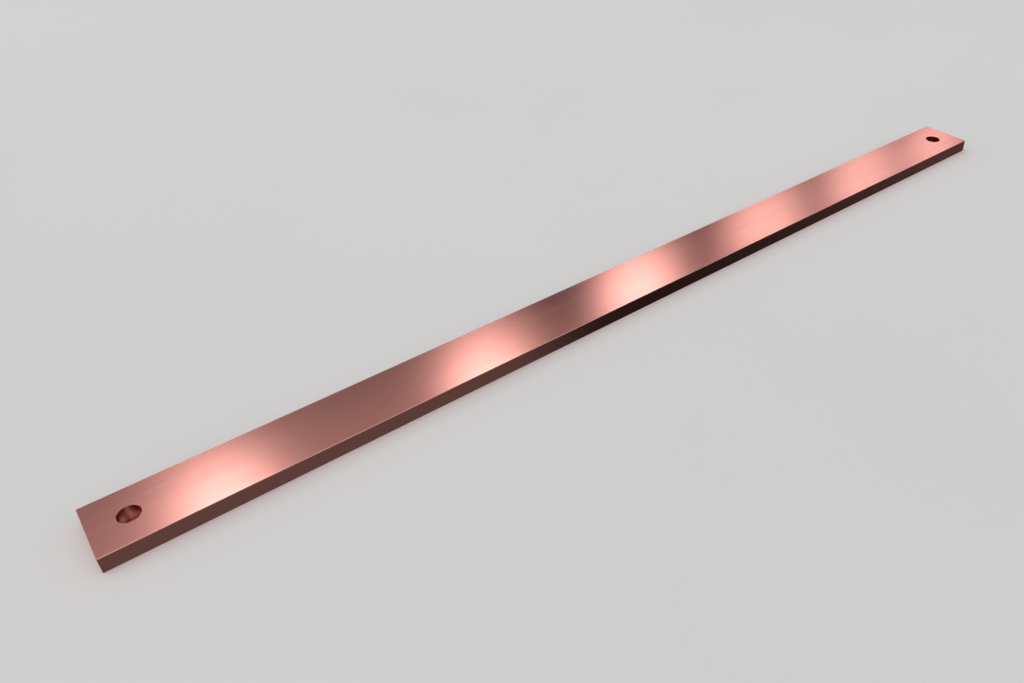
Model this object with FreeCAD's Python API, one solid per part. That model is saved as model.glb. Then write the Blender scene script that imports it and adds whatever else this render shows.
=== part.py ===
"""Copper busbar: one flat rectangular bar of solid copper with a bolt hole at each end.

The bar is a single piece. Drawn flat stock is sawn to length, drilled once near
each end and deburred, so every feature below belongs to one solid:

  - a rectangular section whose four long corners keep the small radius left by
    the drawing die,
  - two square sawn ends whose edges are broken by a small chamfer,
  - two plain round holes through the thickness, on the centreline, each with
    both mouths rounded over slightly by deburring.

Frame: millimetres, +Z up. The origin is at the centre of the underside, +X runs
along the bar, +Y across its width. The bar lies on its wide face.
"""

import FreeCAD
import Part

import os

# ---- driving dimensions (mm) -------------------------------------------------
INCH = 25.4

LENGTH = 18.0 * INCH            # overall length, end face to end face
WIDTH = 1.0 * INCH              # wide side of the section
THICKNESS = INCH / 4.0          # narrow side of the section

HOLE_DIAMETER = 19.0 / 64.0 * INCH  # clears a 1/4 in bolt with room to spare
HOLE_FROM_END = 0.5 * INCH          # hole centre to the nearer end face
MOUTH_RADIUS = 0.06                 # rounding left by deburring each hole mouth

CORNER_RADIUS = 0.20            # square-edge drawn bar, long corners
END_CHAMFER = 0.10              # broken edge around each sawn end

NODE = "copper_bar"

# ---- derived -----------------------------------------------------------------
HALF_L = LENGTH / 2.0
HALF_W = WIDTH / 2.0
HOLE_X = HALF_L - HOLE_FROM_END     # hole centres at x = -HOLE_X and +HOLE_X
EPS = 1e-6


def on_end_face(edge):
    """True for an edge that lies wholly in one of the two end planes."""
    box = edge.BoundBox
    return (abs(box.XMin - HALF_L) < EPS and abs(box.XMax - HALF_L) < EPS) or (
        abs(box.XMin + HALF_L) < EPS and abs(box.XMax + HALF_L) < EPS
    )


def on_hole_mouth(edge):
    """True for a full circle of the hole's size in the top or bottom plane."""
    curve = edge.Curve
    if not isinstance(curve, Part.Circle):
        return False
    if abs(curve.Radius - HOLE_DIAMETER / 2.0) > EPS:
        return False
    z = curve.Center.z
    return abs(z) < EPS or abs(z - THICKNESS) < EPS


def make_bar():
    """The whole bar as one solid."""
    bar = Part.makeBox(
        LENGTH,
        WIDTH,
        THICKNESS,
        FreeCAD.Vector(-HALF_L, -HALF_W, 0.0),
    )

    # the drawing die leaves a small radius on the four long corners
    long_edges = [
        e for e in bar.Edges if abs(e.BoundBox.XLength - LENGTH) < EPS
    ]
    bar = bar.makeFillet(CORNER_RADIUS, long_edges)

    # each sawn end has its whole outline broken with a small chamfer
    bar = bar.makeChamfer(END_CHAMFER, [e for e in bar.Edges if on_end_face(e)])

    # one plain hole through the thickness near each end
    for x in (-HOLE_X, HOLE_X):
        drill = Part.makeCylinder(
            HOLE_DIAMETER / 2.0,
            THICKNESS + 2.0,
            FreeCAD.Vector(x, 0.0, -1.0),
            FreeCAD.Vector(0.0, 0.0, 1.0),
        )
        bar = bar.cut(drill)

    # both mouths of both holes are lightly deburred, which leaves them rounded
    bar = bar.makeFillet(MOUTH_RADIUS, [e for e in bar.Edges if on_hole_mouth(e)])

    solids = bar.Solids
    if len(solids) != 1 or not solids[0].isValid():
        raise RuntimeError("the bar is not one valid solid")
    return solids[0]


def main():
    os.makedirs("parts", exist_ok=True)
    bar = make_bar()
    box = bar.BoundBox
    print(
        f"{NODE}: {box.XLength:.3f} x {box.YLength:.3f} x {box.ZLength:.3f} mm, "
        f"volume {bar.Volume:.1f} mm3, {len(bar.Faces)} faces"
    )
    bar.exportStep(os.path.join("parts", NODE + ".step"))


main()
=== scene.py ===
import math

import bpy
import numpy as np
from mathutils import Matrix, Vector


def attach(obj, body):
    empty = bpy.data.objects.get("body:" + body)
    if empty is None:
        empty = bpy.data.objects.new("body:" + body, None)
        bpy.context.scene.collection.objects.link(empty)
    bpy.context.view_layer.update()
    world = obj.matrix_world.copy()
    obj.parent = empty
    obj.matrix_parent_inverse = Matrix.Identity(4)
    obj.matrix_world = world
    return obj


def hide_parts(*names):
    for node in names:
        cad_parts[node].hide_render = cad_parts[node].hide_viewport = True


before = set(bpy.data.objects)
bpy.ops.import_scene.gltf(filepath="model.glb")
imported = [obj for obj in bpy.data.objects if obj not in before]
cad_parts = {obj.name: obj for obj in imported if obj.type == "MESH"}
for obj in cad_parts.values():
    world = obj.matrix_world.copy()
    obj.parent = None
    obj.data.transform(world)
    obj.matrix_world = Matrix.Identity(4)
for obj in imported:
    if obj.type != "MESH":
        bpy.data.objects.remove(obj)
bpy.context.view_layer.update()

# ------------------------------------------------------------------------------
# The bar, in millimetres. It is drawn flat copper, sawn to length, drilled once
# near each end and deburred. The sizes are those of the solid it stands for.
# ------------------------------------------------------------------------------
INCH = 25.4
HALF_L = 9.0 * INCH             # half the length, along X
HALF_W = 0.5 * INCH             # half the width, along Y
THICK = 0.25 * INCH             # thickness, along Z, from 0
CORNER_R = 0.20                 # radius of the four long corners
END_CHAMFER = 0.10              # broken edge round each sawn end
HOLE_R = 19.0 / 128.0 * INCH    # hole radius
HOLE_X = HALF_L - 0.5 * INCH    # hole centres at -HOLE_X and +HOLE_X
MOUTH_R = 0.06                  # rounding left by deburring each hole mouth

FLAT_Y = HALF_W - CORNER_R      # half the flat part of a wide face
PATCH_X = 0.5 * INCH - END_CHAMFER   # half length of the square patch round a hole
N_SIDE = 24                     # divisions across the width, and per patch side
N_ARC = 8                       # divisions of a long corner
N_EDGE = 4                      # divisions of a narrow side
N_MID = 66                      # divisions along the bar between the patches
N_BORE = 6                      # divisions down a hole
N_MOUTH = 4                     # divisions of a hole mouth's rounding

DRAWN, SAWN, DRILLED = 0, 1, 2  # the three finishes, as material slots


def unit(v):
    v = np.asarray(v, float)
    return v / np.linalg.norm(v)


class Shell:
    """Collects faces with a true surface normal at each corner and a place on the bake map."""

    def __init__(self):
        self.index, self.verts = {}, []
        self.faces, self.normals, self.uvs, self.slots = [], [], [], []

    def vert(self, p):
        key = tuple(int(round(c * 1e5)) for c in p)
        if key not in self.index:
            self.index[key] = len(self.verts)
            self.verts.append([float(c) for c in p])
        return self.index[key]

    def face(self, points, normals, uvs, slot):
        ids = [self.vert(p) for p in points]
        p = np.array(points, float)
        n = sum(np.cross(p[i] - p[0], p[i + 1] - p[0]) for i in range(1, len(p) - 1))
        if np.dot(n, np.sum(normals, axis=0)) < 0:
            ids, normals, uvs = ids[::-1], normals[::-1], uvs[::-1]
        self.faces.append(ids)
        self.normals.append([unit(v) for v in normals])
        self.uvs.append(uvs)
        self.slots.append(slot)


def fan_steps(n):
    """n+1 places from -1 to 1 where lines at equal angles from the centre meet a side."""
    return np.tan(np.linspace(-math.pi / 4, math.pi / 4, n + 1))


def section(inset):
    """Outline of the section, inset all round: points (y, z), normals (ny, nz)."""
    r, w = CORNER_R - inset, HALF_W - inset
    lo, hi = inset, THICK - inset
    y_mid, z_lo, z_hi = FLAT_Y, CORNER_R, THICK - CORNER_R
    across = fan_steps(N_SIDE) * FLAT_Y
    up = np.linspace(z_lo, z_hi, N_EDGE + 1)
    pts, nrm = [], []

    def run(ps, n):
        pts.extend(ps)
        nrm.extend([n] * len(ps))

    def arc(cy, cz, a0):
        for a in np.linspace(a0, a0 + math.pi / 2, N_ARC + 1)[1:-1]:
            pts.append((cy + r * math.cos(a), cz + r * math.sin(a)))
            nrm.append((math.cos(a), math.sin(a)))

    run([(w, z) for z in up], (1, 0))
    arc(y_mid, z_hi, 0.0)
    run([(y, hi) for y in across[::-1]], (0, 1))
    arc(-y_mid, z_hi, math.pi / 2)
    run([(-w, z) for z in up[::-1]], (-1, 0))
    arc(-y_mid, z_lo, math.pi)
    run([(y, lo) for y in across], (0, -1))
    arc(y_mid, z_lo, 1.5 * math.pi)
    return np.array(pts), np.array(nrm)


OUT_P, OUT_N = section(0.0)
INS_P, INS_N = section(END_CHAMFER)
N_OUT = len(OUT_P)
GIRTH = np.concatenate(
    [[0.0], np.cumsum(np.linalg.norm(np.diff(np.vstack([OUT_P, OUT_P[:1]]), axis=0), axis=1))]
)
I_TOP = N_EDGE + 1 + N_ARC - 1              # first point of the top flat, at +Y
I_BOT = I_TOP + (N_SIDE + 1) + (N_ARC - 1) + (N_EDGE + 1) + (N_ARC - 1)   # first of the bottom, at -Y

# Bake map: the drawn faces unrolled in two half-length strips, then the small islands in a row.
GAP = 0.006
STRIP_V = 0.42


def map_strip(xs, ss):
    """Places of a face on the unrolled strips. Its half comes from its middle."""
    half = 0 if sum(xs) < 0 else 1
    out = []
    for x, s in zip(xs, ss):
        t = (x + HALF_L) / HALF_L if half == 0 else x / HALF_L
        out.append((GAP + t * (1 - 2 * GAP), half * STRIP_V + GAP + s / GIRTH[-1] * (STRIP_V - 2 * GAP)))
    return out


def map_island(k, s, t):
    """Places on island k of the row of four, from s and t in 0..1."""
    return ((k + 0.03 + 0.94 * s) / 4, 2 * STRIP_V + GAP + t * (1 - 2 * STRIP_V - 2 * GAP))


def build_bar():
    shell = Shell()
    patch = fan_steps(N_SIDE) * PATCH_X
    middle = np.linspace(-HOLE_X + PATCH_X, HOLE_X - PATCH_X, N_MID + 1)
    stations = np.concatenate([patch - HOLE_X, middle[1:-1], patch + HOLE_X])
    flats = set(range(I_TOP, I_TOP + N_SIDE)) | set(range(I_BOT, I_BOT + N_SIDE))

    # the shell between the two end chamfers, leaving the hole patches open
    for i in range(len(stations) - 1):
        x0, x1 = stations[i], stations[i + 1]
        in_patch = abs((x0 + x1) / 2) > HOLE_X - PATCH_X
        for k in range(N_OUT):
            if in_patch and k in flats:
                continue
            j = (k + 1) % N_OUT
            a, b = OUT_P[k], OUT_P[j]
            na, nb = (0, *OUT_N[k]), (0, *OUT_N[j])
            shell.face(
                [(x0, *a), (x1, *a), (x1, *b), (x0, *b)],
                [na, na, nb, nb],
                map_strip((x0, x1, x1, x0), (GIRTH[k], GIRTH[k], GIRTH[k + 1], GIRTH[k + 1])),
                DRAWN,
            )

    # square patches round the holes, running into the round mouths
    rim = HOLE_R + MOUTH_R
    turn = np.linspace(-math.pi / 4, 2 * math.pi - math.pi / 4, 4 * N_SIDE + 1)
    steps = fan_steps(N_SIDE)
    square = []
    for q in range(4):
        for s in steps[:-1]:
            square.append([(1, s), (-s, 1), (-1, -s), (s, -1)][q])
    square = np.array(square + square[:1]) * (PATCH_X, FLAT_Y)
    circle = np.c_[np.cos(turn), np.sin(turn)]
    blend = np.array([0.0, 0.04, 0.10, 0.20, 0.36, 0.62, 1.0])
    for hx in (-HOLE_X, HOLE_X):
        for z, nz, i0 in ((THICK, 1, I_TOP), (0.0, -1, I_BOT)):
            rings = [circle * rim * (1 - t) + square * t for t in blend]
            for r0, r1 in zip(rings[:-1], rings[1:]):
                for k in range(4 * N_SIDE):
                    q = [r0[k], r1[k], r1[k + 1], r0[k + 1]]
                    girth = [GIRTH[i0] + (FLAT_Y - p[1] if nz > 0 else FLAT_Y + p[1]) for p in q]
                    shell.face(
                        [(hx + p[0], p[1], z) for p in q],
                        [(0, 0, nz)] * 4,
                        map_strip([hx + p[0] for p in q], girth),
                        DRAWN,
                    )
        # deburred mouths and the drilled wall
        island = 2 if hx < 0 else 3
        bend = np.linspace(0.0, math.pi / 2, N_MOUTH + 1)
        lower = [(rim - MOUTH_R * math.sin(t), MOUTH_R * (1 - math.cos(t)), -math.cos(t)) for t in bend]
        straight = [(HOLE_R, z, 0.0) for z in np.linspace(MOUTH_R, THICK - MOUTH_R, N_BORE + 1)[1:-1]]
        profile = lower + straight + [(r, THICK - z, -nz) for r, z, nz in lower[::-1]]
        for (ra, z0, nza), (rb, z1, nzb) in zip(profile[:-1], profile[1:]):
            ha, hb = math.sqrt(1 - nza * nza), math.sqrt(1 - nzb * nzb)
            for k in range(4 * N_SIDE):
                c0, c1 = circle[k], circle[k + 1]
                shell.face(
                    [
                        (hx + ra * c0[0], ra * c0[1], z0),
                        (hx + ra * c1[0], ra * c1[1], z0),
                        (hx + rb * c1[0], rb * c1[1], z1),
                        (hx + rb * c0[0], rb * c0[1], z1),
                    ],
                    [
                        (-ha * c0[0], -ha * c0[1], nza),
                        (-ha * c1[0], -ha * c1[1], nza),
                        (-hb * c1[0], -hb * c1[1], nzb),
                        (-hb * c0[0], -hb * c0[1], nzb),
                    ],
                    [
                        map_island(island, s / (4 * N_SIDE), z / THICK)
                        for s, z in ((k, z0), (k + 1, z0), (k + 1, z1), (k, z1))
                    ],
                    DRILLED,
                )

    # sawn ends: a chamfer all round, then the flat cut
    for sign in (-1, 1):
        island = 0 if sign < 0 else 1
        xa, xb = sign * (HALF_L - END_CHAMFER), sign * HALF_L

        def spot(p):
            return map_island(island, (p[0] + HALF_W) / (2 * HALF_W), p[1] / THICK)

        for k in range(N_OUT):
            j = (k + 1) % N_OUT
            na, nb = (sign, *OUT_N[k]), (sign, *OUT_N[j])
            shell.face(
                [(xa, *OUT_P[k]), (xa, *OUT_P[j]), (xb, *INS_P[j]), (xb, *INS_P[k])],
                [na, nb, nb, na],
                [spot(OUT_P[k]), spot(OUT_P[j]), spot(INS_P[j]), spot(INS_P[k])],
                SAWN,
            )
        ys = fan_steps(N_SIDE) * FLAT_Y
        up = np.linspace(CORNER_R, THICK - CORNER_R, N_EDGE + 1)
        zs = np.concatenate([[END_CHAMFER], up, [THICK - END_CHAMFER]])
        cut = []
        for a in range(N_SIDE):
            for b in range(len(zs) - 1):
                cut.append([(ys[a], zs[b]), (ys[a + 1], zs[b]), (ys[a + 1], zs[b + 1]), (ys[a], zs[b + 1])])
        w = HALF_W - END_CHAMFER
        for side in (-1, 1):
            for b in range(N_EDGE):
                cut.append([(side * FLAT_Y, up[b]), (side * w, up[b]), (side * w, up[b + 1]), (side * FLAT_Y, up[b + 1])])
        r = CORNER_R - END_CHAMFER
        for cy, cz, a0 in (
            (FLAT_Y, up[-1], 0.0),
            (-FLAT_Y, up[-1], 0.5),
            (-FLAT_Y, up[0], 1.0),
            (FLAT_Y, up[0], 1.5),
        ):
            arc = [
                (cy + r * math.cos(a), cz + r * math.sin(a))
                for a in np.linspace(a0 * math.pi, (a0 + 0.5) * math.pi, N_ARC + 1)
            ]
            cut.extend([[(cy, cz), arc[i], arc[i + 1]] for i in range(N_ARC)])
        for q in cut:
            shell.face([(xb, *p) for p in q], [(sign, 0, 0)] * len(q), [spot(p) for p in q], SAWN)

    mesh = bpy.data.meshes.new("busbar")
    mesh.from_pydata([[c / 1000 for c in v] for v in shell.verts], [], shell.faces)
    mesh.polygons.foreach_set("material_index", shell.slots)
    mesh.polygons.foreach_set("use_smooth", [True] * len(shell.faces))
    layer = mesh.uv_layers.new(name="OFBake")
    layer.data.foreach_set("uv", [c for f in shell.uvs for uv in f for c in uv])
    mesh.update()
    mesh.normals_split_custom_set([tuple(n) for f in shell.normals for n in f])
    obj = bpy.data.objects.new("busbar", mesh)
    bpy.context.collection.objects.link(obj)
    return obj


# ------------------------------------------------------------------------------
# Finishes. All are bare copper, so they share one colour family. Coordinates are
# the bar's own, in metres.
# ------------------------------------------------------------------------------
class Graph:
    """A short way to write a node tree."""

    def __init__(self, tree):
        self.tree = tree
        tree.nodes.clear()

    def add(self, kind, **props):
        n = self.tree.nodes.new(kind)
        for k, v in props.items():
            setattr(n, k, v)
        return n

    def put(self, socket, value):
        if hasattr(value, "is_linked"):
            self.tree.links.new(value, socket)
        else:
            socket.default_value = value

    def noise(self, vector, scale=1.0, detail=2.0, rough=0.5, distortion=0.0):
        n = self.add("ShaderNodeTexNoise")
        self.put(n.inputs["Vector"], vector)
        n.inputs["Scale"].default_value = scale
        n.inputs["Detail"].default_value = detail
        n.inputs["Roughness"].default_value = rough
        n.inputs["Distortion"].default_value = distortion
        return n.outputs["Fac"]

    def math(self, op, a, b=0.0, c=0.0, clamp=False):
        n = self.add("ShaderNodeMath", operation=op, use_clamp=clamp)
        for s, v in zip(n.inputs, (a, b, c)):
            self.put(s, v)
        return n.outputs[0]

    def fit(self, value, lo, hi, to_lo=0.0, to_hi=1.0, smooth=False):
        n = self.add("ShaderNodeMapRange", interpolation_type="SMOOTHSTEP" if smooth else "LINEAR")
        for name, v in (("Value", value), ("From Min", lo), ("From Max", hi), ("To Min", to_lo), ("To Max", to_hi)):
            self.put(n.inputs[name], v)
        return n.outputs["Result"]

    def mix(self, fac, a, b):
        n = self.add("ShaderNodeMix", data_type="RGBA")
        self.put(n.inputs["Factor"], fac)
        for socket, v in ((n.inputs[6], a), (n.inputs[7], b)):
            self.put(socket, (*v, 1.0) if isinstance(v, tuple) else v)
        return n.outputs[2]

    def ramp(self, value, lo, hi, stops):
        """Grey levels over a value: stops are (value, level)."""
        n = self.add("ShaderNodeValToRGB")
        self.put(n.inputs[0], self.fit(value, lo, hi))
        while len(n.color_ramp.elements) < len(stops):
            n.color_ramp.elements.new(0.5)
        for e, (at, v) in zip(n.color_ramp.elements, stops):
            e.position, e.color = (at - lo) / (hi - lo), (v, v, v, 1)
        return n.outputs["Color"]

    def window(self, value, start, full, last, end):
        """1 from full to last, falling smoothly to 0 at start and end."""
        return self.math("MULTIPLY", self.fit(value, start, full, smooth=True), self.fit(value, last, end, 1.0, 0.0, smooth=True))


class Finish(Graph):
    """A material with one shader, over the piece's own coordinates."""

    def __init__(self, name):
        self.mat = bpy.data.materials.new(name)
        self.mat.use_nodes = True
        super().__init__(self.mat.node_tree)
        self.out = self.add("ShaderNodeOutputMaterial")
        self.bsdf = self.add("ShaderNodeBsdfPrincipled")
        self.tree.links.new(self.bsdf.outputs[0], self.out.inputs["Surface"])
        self.coord = self.add("ShaderNodeTexCoord").outputs["Object"]

    def mapped(self, scale, location=(0, 0, 0)):
        n = self.add("ShaderNodeMapping")
        self.put(n.inputs["Vector"], self.coord)
        n.inputs["Scale"].default_value = scale
        n.inputs["Location"].default_value = location
        return n.outputs[0]

    def bump(self, height, distance, normal=None):
        n = self.add("ShaderNodeBump")
        n.inputs["Distance"].default_value = distance
        self.put(n.inputs["Height"], height)
        if normal is not None:
            self.put(n.inputs["Normal"], normal)
        return n.outputs[0]

    def finish(self, colour, roughness, normal=None):
        self.put(self.bsdf.inputs["Base Color"], colour)
        self.put(self.bsdf.inputs["Roughness"], roughness)
        self.bsdf.inputs["Metallic"].default_value = 1.0
        self.bsdf.inputs["Specular Tint"].default_value = (1.0, 0.8, 0.8, 1.0)
        if normal is not None:
            self.put(self.bsdf.inputs["Normal"], normal)
        return self.mat


COPPER = (0.900, 0.402, 0.349)       # clean metal
COPPER_DEEP = (0.868, 0.369, 0.312)  # faintly tarnished
COPPER_BRIGHT = (0.930, 0.456, 0.399)  # rubbed edges, partly a painted edge highlight
COPPER_DULL = (0.530, 0.175, 0.138)  # inside the holes: dark marks down the walls, partly painted reflection streaks


def drawn_copper():
    """Drawn faces: die lines along the bar, a faint uneven tarnish, rubbed long edges that are lightened also as a
    painted edge highlight.
    """
    n = Finish("copper_drawn")
    fine = n.noise(n.mapped((9, 3100, 3100)), detail=1.5, rough=0.5)
    lines = n.noise(n.mapped((5, 1150, 1150), location=(1.7, 2.9, 8.3)), detail=2.0, rough=0.55)
    broad = n.noise(n.mapped((3, 340, 340), location=(3.1, 7.7, 1.3)), detail=1.0, rough=0.5)
    cloud = n.noise(n.mapped((38, 74, 74)), detail=4.0, rough=0.55, distortion=0.4)
    patch = n.noise(n.mapped((9, 21, 21), location=(11.0, 4.0, 2.0)), detail=2.0, rough=0.5)

    # rubbed line along the long corners, also a painted highlight on the edge line
    sep = n.add("ShaderNodeSeparateXYZ")
    n.put(sep.inputs[0], n.coord)
    off_y = n.math("SUBTRACT", n.math("ABSOLUTE", sep.outputs["Y"]), 0.0127)
    off_z = n.math("SUBTRACT", n.math("ABSOLUTE", n.math("SUBTRACT", sep.outputs["Z"], 0.003175)), 0.003175)
    near = n.math("ADD", off_y, off_z)      # 0 at a sharp corner, falling along both faces
    rub_and_edge_highlight = n.fit(near, -0.0008, -0.00015, smooth=True)
    rub_and_edge_highlight = n.math("MULTIPLY", rub_and_edge_highlight, n.fit(cloud, 0.25, 0.75, 0.55, 1.0))

    tone = n.math("ADD", n.fit(cloud, 0.3, 0.7, 0.0, 0.55), n.fit(patch, 0.35, 0.65, 0.0, 0.45), clamp=True)
    colour = n.mix(tone, COPPER, COPPER_DEEP)
    colour = n.mix(n.fit(lines, 0.50, 0.75, 0.0, 0.30), colour, COPPER_BRIGHT)
    colour = n.mix(n.fit(lines, 0.45, 0.25, 0.0, 0.35), colour, COPPER_DEEP)
    # rubbed wear and painted edge highlight: the long corners lightened towards COPPER_BRIGHT
    colour = n.mix(n.math("MULTIPLY", rub_and_edge_highlight, 0.7), colour, COPPER_BRIGHT)

    rough = n.math("ADD", n.fit(fine, 0.3, 0.7, 0.165, 0.185), n.fit(patch, 0.3, 0.7, -0.007, 0.009))
    rough = n.math("ADD", rough, n.fit(lines, 0.3, 0.7, -0.006, 0.006))
    rough = n.math("SUBTRACT", rough, n.math("MULTIPLY", rub_and_edge_highlight, 0.015))
    normal = n.bump(fine, 2.5e-7)
    normal = n.bump(lines, 7.0e-7, normal)
    normal = n.bump(broad, 1.6e-6, normal)
    return n.finish(colour, rough, normal)


def sawn_copper():
    """Sawn ends: close, slightly curved tooth marks, a little duller than the faces."""
    n = Finish("copper_sawn")
    wave = n.add("ShaderNodeTexWave", wave_type="RINGS", rings_direction="X", wave_profile="SAW")
    n.put(wave.inputs["Vector"], n.mapped((1, 1, 1), location=(0, 0.10, -0.16)))
    wave.inputs["Scale"].default_value = 420.0
    wave.inputs["Distortion"].default_value = 1.2
    wave.inputs["Detail"].default_value = 3.0
    wave.inputs["Detail Scale"].default_value = 0.6
    grain = n.noise(n.coord, scale=2600, detail=3.0, rough=0.6)
    cloud = n.noise(n.coord, scale=140, detail=3.0)
    marks = n.math("ADD", n.math("MULTIPLY", wave.outputs["Fac"], 0.75), n.math("MULTIPLY", grain, 0.25))
    colour = n.mix(n.fit(marks, 0.15, 0.85), COPPER_DEEP, COPPER_BRIGHT)
    colour = n.mix(n.fit(cloud, 0.4, 0.7, 0.0, 0.35), colour, COPPER_DEEP)
    rough = n.math("ADD", n.fit(grain, 0.3, 0.7, 0.27, 0.33), n.fit(cloud, 0.3, 0.7, -0.02, 0.03))
    return n.finish(colour, rough, n.bump(marks, 5.0e-6))


def drilled_copper():
    """Drilled holes: fine rings from the drill's lips round the wall, and marks dragged along it by the drill, which
    also serve as painted light and dark reflection streaks.
    """
    n = Finish("copper_drilled")
    rings = n.noise(n.mapped((90, 90, 7200)), detail=3.0, rough=0.6)
    steps = n.noise(n.mapped((60, 60, 1500), location=(2.0, 1.0, 5.0)), detail=1.0)
    drag_and_painted_streaks = n.noise(n.mapped((330, 330, 12), location=(1.3, 2.2, 5.0)), detail=3.0, rough=0.6)
    colour = n.mix(n.fit(steps, 0.3, 0.7), COPPER_DEEP, COPPER)
    # marks dragged down the wall, also painted reflection streaks: lighter and darker bands
    colour = n.mix(n.fit(drag_and_painted_streaks, 0.52, 0.64, 0.0, 1.0), colour, COPPER_BRIGHT)
    colour = n.mix(n.fit(drag_and_painted_streaks, 0.54, 0.34, 0.0, 1.0), colour, COPPER_DULL)
    rough = n.math("ADD", n.fit(rings, 0.3, 0.7, 0.13, 0.18), n.fit(steps, 0.3, 0.7, -0.01, 0.01))
    normal = n.bump(drag_and_painted_streaks, 1.2e-5, n.bump(steps, 1.5e-6, n.bump(rings, 8.0e-7)))
    return n.finish(colour, rough, normal)


bar = build_bar()
for make in (drawn_copper, sawn_copper, drilled_copper):
    bar.data.materials.append(make())
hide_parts("copper_bar")
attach(bar, "root")


# ------------------------------------------------------------------------------
# Stage: a pale floor, a soft room round it, and rows of small round lamps whose
# reflections lie along the bar.
# ------------------------------------------------------------------------------
def floor_material(name, light, dark):
    """Matt, with a hardly visible drift between two tones."""
    n = Finish(name)
    tone = n.noise(n.coord, scale=3.0, detail=3.0)
    n.put(n.bsdf.inputs["Base Color"], n.mix(n.fit(tone, 0.3, 0.7), light, dark))
    n.bsdf.inputs["Roughness"].default_value = 0.9
    n.bsdf.inputs["Specular IOR Level"].default_value = 0.1
    return n.mat


floor_mesh = bpy.data.meshes.new("floor")
ring = [(6 * math.cos(2 * math.pi * k / 96), 6 * math.sin(2 * math.pi * k / 96), 0.0) for k in range(96)]
floor_mesh.from_pydata([(0, 0, 0)] + ring, [], [(0, k + 1, (k + 1) % 96 + 1) for k in range(96)])
floor = bpy.data.objects.new("floor", floor_mesh)
floor.location.z = -0.00005
bpy.context.collection.objects.link(floor)
floor_mesh.materials.append(floor_material("floor_pale", (0.87, 0.862, 0.854), (0.84, 0.835, 0.83)))
floor.visible_glossy = False

# The strip of floor right under the bar, which the holes open onto: a dark sheet of painted shade, with a painted pool
# of light under the near hole, pale in the middle and copper-red towards +Y.
under_mesh = bpy.data.meshes.new("floor_under")
under_mesh.from_pydata(
    [(x, y, 0.0) for x, y in ((-0.2284, -0.0125), (0.2284, -0.0125), (0.2284, 0.0125), (-0.2284, 0.0125))],
    [],
    [(0, 1, 2, 3)],
)
under = bpy.data.objects.new("floor_under", under_mesh)
under.location.z = -0.00002
bpy.context.collection.objects.link(under)
shade = Finish("floor_painted_shade")
split = shade.add("ShaderNodeSeparateXYZ")
shade.put(split.inputs[0], shade.coord)
# painted pool of light, centred under the near hole
aside = shade.math("POWER", shade.math("DIVIDE", shade.math("ADD", split.outputs["X"], 0.2159), 0.0018), 2.0)
aside = shade.math("ADD", aside, shade.math("POWER", shade.math("DIVIDE", shade.math("SUBTRACT", split.outputs["Y"], 0.0002), 0.0058), 2.0))
painted_light_pool = shade.math("EXPONENT", shade.math("MULTIPLY", aside, -1.0))
# colour of the painted pool of light: pale, turning copper-red towards +Y
tone = shade.mix(shade.fit(split.outputs["Y"], 0.0024, 0.0036, smooth=True), (0.90, 0.81, 0.77), (0.95, 0.52, 0.44))
# painted shade: dark over the rest of the strip, outside the pool of light
shade.put(shade.bsdf.inputs["Base Color"], shade.mix(painted_light_pool, (0.16, 0.115, 0.10), tone))
shade.bsdf.inputs["Roughness"].default_value = 0.9
shade.bsdf.inputs["Specular IOR Level"].default_value = 0.1
under_mesh.materials.append(shade.mat)

W = 0.0254


def place(obj, position, target):
    obj.location = position
    obj.rotation_mode = "QUATERNION"
    obj.rotation_quaternion = (Vector(target) - Vector(position)).to_track_quat("-Z", "Y")
    obj.visible_camera = False
    bpy.context.collection.objects.link(obj)


def lamp(name, position, target, radius, radiance):
    """A round lamp, brightest in the middle and fading smoothly to its rim. radius is where it has fallen to 1/e."""
    rim = 1.5 * radius
    data = bpy.data.lights.new(name, "AREA")
    data.shape, data.size = "DISK", 2 * rim
    data.energy = radiance * math.pi * math.pi * rim * rim
    data.use_nodes = True
    tree = data.node_tree
    tree.nodes.clear()
    out = tree.nodes.new("ShaderNodeOutputLight")
    emit = tree.nodes.new("ShaderNodeEmission")
    over = tree.nodes.new("ShaderNodeNewGeometry").outputs["Parametric"]
    away = tree.nodes.new("ShaderNodeVectorMath")
    away.operation = "DISTANCE"
    away.inputs[1].default_value = (0.5, 0.5, 0.0)
    tree.links.new(over, away.inputs[0])
    steps = [("DIVIDE", 0.5 / 1.5), ("POWER", 4.0), ("MULTIPLY", -1.0), ("EXPONENT", None)]
    value = away.outputs["Value"]
    for operation, number in steps:
        m = tree.nodes.new("ShaderNodeMath")
        m.operation = operation
        tree.links.new(value, m.inputs[0])
        if number is not None:
            m.inputs[1].default_value = number
        value = m.outputs[0]
    tree.links.new(value, emit.inputs["Strength"])
    tree.links.new(emit.outputs[0], out.inputs[0])
    place(bpy.data.objects.new(name, data), position, target)


def heading(azimuth, elevation):
    """Unit vector, azimuth in degrees from +Y towards +X."""
    a, e = math.radians(azimuth), math.radians(elevation)
    return Vector((math.sin(a) * math.cos(e), math.cos(a) * math.cos(e), math.sin(e)))


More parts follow.
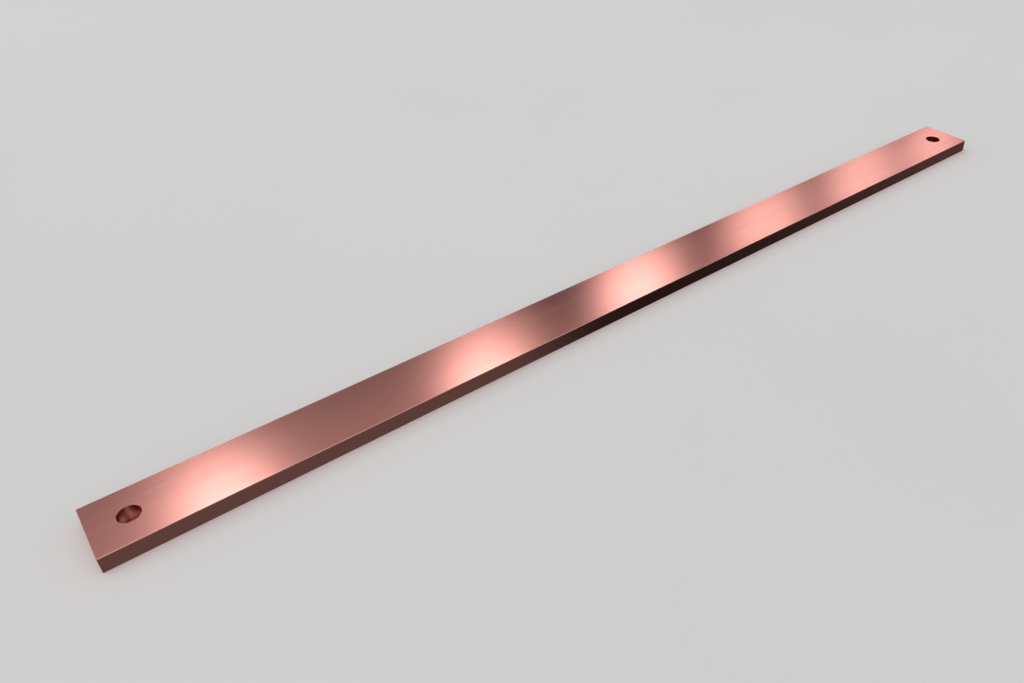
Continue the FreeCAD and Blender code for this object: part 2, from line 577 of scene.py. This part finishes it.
REACH = 63 * W
ROW = [  # place along the bar in widths, azimuth, elevation, radiance, angular radius
    (-7.50, 6.28, 44.56, 3.29, 3.45),
    (-3.40, 28.68, 41.18, 3.98, 3.22),
    (-0.20, 41.01, 35.53, 3.59, 3.22),
    (2.95, 50.02, 30.78, 2.33, 3.35),
    (5.85, 56.21, 26.88, 2.12, 2.98),
    (8.30, 60.90, 24.43, 2.33, 2.50),
]
SIDES = [  # the same for the other corners of the room
    (-6.5, -55.5, 24.8, 1.5, 2.6),
    (-2.0, -48.5, 28.5, 1.9, 2.6),
    (2.5, -40.0, 32.0, 2.2, 2.6),
    (6.5, -29.0, 35.5, 2.2, 2.6),
    (-7.0, -127.5, 29.0, 1.9, 2.6),
    (-2.5, -135.5, 33.0, 2.4, 2.6),
    (2.0, -144.5, 36.5, 2.6, 2.6),
    (6.5, -157.0, 40.0, 2.4, 2.6),
    (-6.5, -16.2, 29.0, 2.2, 2.6),
    (-2.2, -5.6, 29.9, 2.2, 2.6),
    (2.2, 5.6, 29.9, 2.0, 2.6),
    (6.5, 16.2, 29.0, 1.8, 2.6),
    (-6.5, -163.8, 29.0, 2.0, 2.6),
    (-2.2, -174.4, 29.9, 1.8, 2.6),
    (2.2, 174.4, 29.9, 1.6, 2.6),
    (6.5, 163.8, 29.0, 1.6, 2.6),
    (-6.0, 153.9, 34.1, 1.8, 2.6),
    (-0.2, 140.5, 30.2, 2.0, 2.6),
    (5.1, 131.3, 26.5, 2.0, 2.6),
    (1.0, 90.0, 24.0, 1.6, 2.8),
    (-1.0, -90.0, 24.0, 1.4, 2.8),
]
for i, (x, azimuth, elevation, radiance, radius) in enumerate(ROW + SIDES):
    spot = Vector((x * W, 0, 0.25 * W))
    lamp(f"row_{i}", spot + heading(azimuth, elevation) * REACH, spot, REACH * math.tan(math.radians(radius)), radiance)

# Surroundings: a soft room, brightest overhead, with broad upright bands of light
# round it. What the top and the near long side reflect towards the camera is dimmer.
world = bpy.data.worlds.new("studio")
bpy.context.scene.world = world
world.use_nodes = True
g = Graph(world.node_tree)
toward = g.add("ShaderNodeTexCoord").outputs["Generated"]
split = g.add("ShaderNodeSeparateXYZ")
g.put(split.inputs[0], toward)
dx, dy, dz = split.outputs


def facing(x, y, z):
    n = g.add("ShaderNodeVectorMath", operation="DOT_PRODUCT")
    g.put(n.inputs[0], toward)
    n.inputs[1].default_value = (x, y, z)
    return n.outputs["Value"]


bands = g.math("COSINE", g.math("MULTIPLY_ADD", g.math("ARCTAN2", dy, dx), 14.0, 0.9))
lift = g.math("MAXIMUM", dz, 0.02)
along, across = g.math("DIVIDE", dx, lift), g.math("DIVIDE", dy, lift)

room = g.ramp(dz, 0.0, 1.0, [(0, 0.40), (0.3, 0.46), (0.6, 0.58), (0.85, 0.72), (1, 0.78)])
ripple = g.math("MULTIPLY", bands, g.fit(dz, 0.0, 0.9, 0.50, 0.0))
ripple = g.math("MULTIPLY_ADD", g.math("COSINE", g.math("MULTIPLY", along, 17.0)), g.fit(dz, 0.86, 0.97, 0.0, 0.25), ripple)
room = g.math("MULTIPLY", room, g.math("ADD", ripple, 1.0))
glow = g.math("EXPONENT", g.math("MULTIPLY", g.math("SUBTRACT", 1.0, facing(-0.508, 0.299, 0.808)), -9.0))
room = g.math("MULTIPLY_ADD", glow, 0.60, room)

dim = g.ramp(facing(0.76, 0.65, 0.0), -1.0, 1.0, [(-1, 0.50), (0, 0.43), (0.45, 0.40), (0.60, 0.385), (0.665, 0.37), (0.73, 0.18), (0.78, 0.09), (0.83, 0.03), (0.87, 0.02), (1, 0.02)])
dim = g.math("MULTIPLY", dim, g.fit(across, 1.03, 1.21, 1.06, 0.24))
aside = g.math("DIVIDE", facing(0.0, 0.6649, -0.7469), g.fit(along, 0.5, 1.2, 1.0, 1.5))
seen = g.math("MULTIPLY", g.window(aside, -0.28, -0.10, 0.10, 0.30), g.window(along, -0.7, -0.3, 2.6, 3.4))
upper = g.mix(seen, room, dim)

ground = g.math("MULTIPLY_ADD", bands, 0.06, g.fit(dy, -0.6, 0.3, 0.25, 0.32))
shade = g.ramp(dx, -1.0, 1.0, [(-1, 0.12), (0.40, 0.116), (0.47, 0.007), (0.60, 0.016), (0.70, 0.031), (0.763, 0.051), (0.81, 0.086), (1, 0.12)])
seen = g.math("MULTIPLY", g.window(facing(0.0, 0.6897, -0.7242), -0.38, -0.13, 0.13, 0.38), g.window(dx, -0.5, -0.2, 0.86, 0.97))
lower = g.mix(seen, ground, shade)

sky = g.add("ShaderNodeBackground")
g.put(sky.inputs["Color"], g.mix(g.fit(dz, -0.12, 0.04, smooth=True), lower, upper))
back = g.add("ShaderNodeBackground")
back.inputs["Color"].default_value = (0.615, 0.61, 0.603, 1)
either = g.add("ShaderNodeMixShader")
g.put(either.inputs[0], g.add("ShaderNodeLightPath").outputs["Is Camera Ray"])
g.put(either.inputs[1], sky.outputs[0])
g.put(either.inputs[2], back.outputs[0])
g.put(g.add("ShaderNodeOutputWorld").inputs["Surface"], either.outputs[0])

# ------------------------------------------------------------------------------
# Camera: above the near end, looking along the bar.
# ------------------------------------------------------------------------------
cam = bpy.data.cameras.new("camera")
cam.sensor_fit, cam.sensor_width = "HORIZONTAL", 36.0
cam.lens = 36.0 * 886.9 / 1024.0
cam.shift_x = -(622.2 - 512.0) / 1024.0
cam.shift_y = (296.1 - 341.5) / 1024.0
cam.clip_start, cam.clip_end = 0.01, 50.0
camera = bpy.data.objects.new("camera", cam)
camera.location = (-8.487 * W, -9.684 * W, 8.870 * W)
camera.rotation_mode = "QUATERNION"
look = heading(39.44, -35.29)
camera.rotation_quaternion = look.to_track_quat("-Z", "Y")
bpy.context.collection.objects.link(camera)
bpy.context.scene.camera = camera

view = bpy.context.scene.view_settings
view.view_transform = "Standard"
view.look = "None"
view.exposure = 0.0
view.gamma = 1.0
